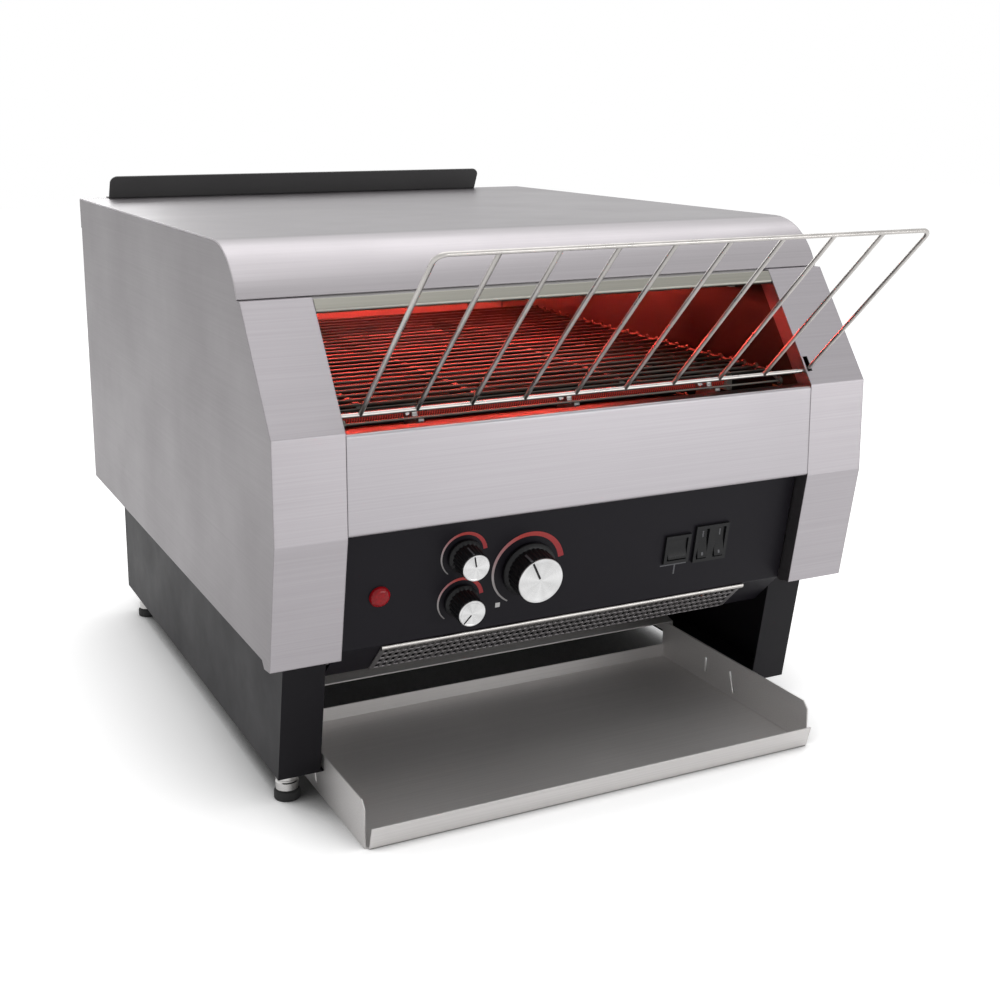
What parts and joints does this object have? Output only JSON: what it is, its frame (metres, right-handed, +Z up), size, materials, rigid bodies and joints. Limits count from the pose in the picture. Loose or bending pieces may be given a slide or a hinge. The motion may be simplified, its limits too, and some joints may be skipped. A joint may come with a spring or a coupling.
{
  "type": "conveyor toaster",
  "caption": "Countertop conveyor toaster with a wire feed rack over a slanted opening, control knobs under a steel band, a black base and a pull-out toast tray",
  "frame": {"origin": "centre of the bounding box in plan, on the counter", "axes": "+Z up, -Y out of the front where bread goes in and toast comes out, +X to the right seen from the front"},
  "size_m": [0.468, 0.7106, 0.4188],
  "materials": {
    "stainless": "satin brushed",
    "baffle_steel": "plain sheet",
    "black_sheet": "satin black",
    "dark_sheet": "satin dark grey",
    "guard_sheet": "perforated sheet",
    "rack_wire": "bright wire",
    "belt_wire": "bright drawn wire",
    "knob_black": "matt black",
    "cap_silver": "spun satin",
    "rocker_black": "semi-gloss",
    "lamp_red": "clear red",
    "foot_metal": "turned",
    "foot_rubber": "matt",
    "element_glow": "quartz, glowing",
    "ceramic_white": "unglazed",
    "machined_steel": "machined",
    "bearing_bronze": "sintered",
    "motor_metal": "cast",
    "terminal_plastic": "moulded"
  },
  "bodies": {
    "chassis": {"top_cover": "stainless", "side_panel_left": "stainless", "side_panel_right": "stainless", "front_panel": "stainless", "control_panel": "black_sheet", "rear_deflector": "dark_sheet", "feed_baffle": "baffle_steel", "conveyor_belt": "belt_wire", "upper_elements": "element_glow", "lower_elements": "element_glow", "perforated_guard": "guard_sheet", "indicator_lamp": "lamp_red", "switch_frames": "knob_black", "base_side_left": "black_sheet", "base_side_right": "black_sheet", "foot_barrels": "foot_metal", "foot_pads": "foot_rubber", "back_panel": "baffle_steel", "cord_gland": "knob_black", "base_rear_panel": "black_sheet", "chassis_pan": "baffle_steel", "chamber_wall_left": "baffle_steel", "chamber_wall_right": "baffle_steel", "upper_reflector": "baffle_steel", "lower_reflector": "baffle_steel", "element_bushings": "ceramic_white", "belt_rails": "belt_wire", "shaft_bearings": "bearing_bronze", "gear_motor": "motor_metal", "motor_bracket": "baffle_steel", "drive_chain": "machined_steel", "fan_frame": "knob_black", "fan_guard": "rack_wire", "toast_chute": "baffle_steel", "discharge_ramp": "stainless", "control_bodies": "knob_black", "terminal_block": "terminal_plastic", "panel_screws": "machined_steel"},
    "rack": {"feed_rack": "rack_wire"},
    "tray": {"collector_tray": "stainless"},
    "speed_control": {"speed_knob": "knob_black", "speed_cap": "cap_silver", "speed_shaft": "machined_steel"},
    "upper_heat_control": {"upper_heat_knob": "knob_black", "upper_heat_cap": "cap_silver", "upper_heat_shaft": "machined_steel"},
    "lower_heat_control": {"lower_heat_knob": "knob_black", "lower_heat_cap": "cap_silver", "lower_heat_shaft": "machined_steel"},
    "power_switch": {"power_rocker": "rocker_black"},
    "mode_switch_left": {"mode_rocker_left": "rocker_black"},
    "mode_switch_right": {"mode_rocker_right": "rocker_black"},
    "belt_drive": {"drive_shaft": "machined_steel", "belt_sprockets_rear": "machined_steel", "chain_sprocket": "machined_steel"},
    "belt_idler": {"idler_shaft": "machined_steel", "belt_sprockets_front": "machined_steel"},
    "motor_output": {"motor_sprocket": "machined_steel"},
    "cooling_fan": {"fan_rotor": "knob_black"}
  },
  "joints": [
    {"name": "feed_rack_hinge", "type": "hinge", "parent": "chassis", "child": "rack", "pos_m": [0, -0.2306, 0.29], "axis": [-1, 0, 0], "range_deg": [0, 30]},
    {"name": "collector_tray_slide", "type": "slide", "parent": "chassis", "child": "tray", "axis": [0, -1, 0], "range_m": [0, 0.15]},
    {"name": "speed_knob_turn", "type": "hinge", "parent": "chassis", "child": "speed_control", "pos_m": [-0.042, -0.21922, 0.16481], "axis": [0, -0.9806, -0.1959], "range_deg": [-167, 113]},
    {"name": "upper_heat_knob_turn", "type": "hinge", "parent": "chassis", "child": "upper_heat_control", "pos_m": [-0.0933, -0.22275, 0.18246], "axis": [0, -0.9806, -0.1959], "range_deg": [-153, 127]},
    {"name": "lower_heat_knob_turn", "type": "hinge", "parent": "chassis", "child": "lower_heat_control", "pos_m": [-0.0933, -0.21585, 0.14794], "axis": [0, -0.9806, -0.1959], "range_deg": [-280, 0]},
    {"name": "power_rocker_tip", "type": "hinge", "parent": "chassis", "child": "power_switch", "pos_m": [0.083, -0.21762, 0.16187], "axis": [1, 0, 0], "range_deg": [0, 16]},
    {"name": "mode_rocker_left_tip", "type": "hinge", "parent": "chassis", "child": "mode_switch_left", "pos_m": [0.1052, -0.21787, 0.16314], "axis": [1, 0, 0], "range_deg": [0, 16]},
    {"name": "mode_rocker_right_tip", "type": "hinge", "parent": "chassis", "child": "mode_switch_right", "pos_m": [0.1202, -0.21787, 0.16314], "axis": [1, 0, 0], "range_deg": [0, 16]},
    {"name": "drive_shaft_spin", "type": "hinge", "parent": "chassis", "child": "belt_drive", "pos_m": [0, 0.19767, 0.266], "axis": [-1, 0, 0], "continuous": true},
    {"name": "idler_shaft_spin", "type": "hinge", "parent": "chassis", "child": "belt_idler", "pos_m": [0, -0.1992, 0.266], "axis": [-1, 0, 0], "continuous": true},
    {"name": "motor_output_spin", "type": "hinge", "parent": "chassis", "child": "motor_output", "pos_m": [0, 0.08868, 0.172], "axis": [-1, 0, 0], "continuous": true},
    {"name": "fan_spin", "type": "hinge", "parent": "chassis", "child": "cooling_fan", "pos_m": [-0.12, 0.3401, 0.25], "axis": [0, -1, 0], "continuous": true}
  ],
  "couplings": [
    {"joint": "idler_shaft_spin", "follows": "drive_shaft_spin", "ratio": 1},
    {"joint": "motor_output_spin", "follows": "drive_shaft_spin", "ratio": 1.4}
  ]
}
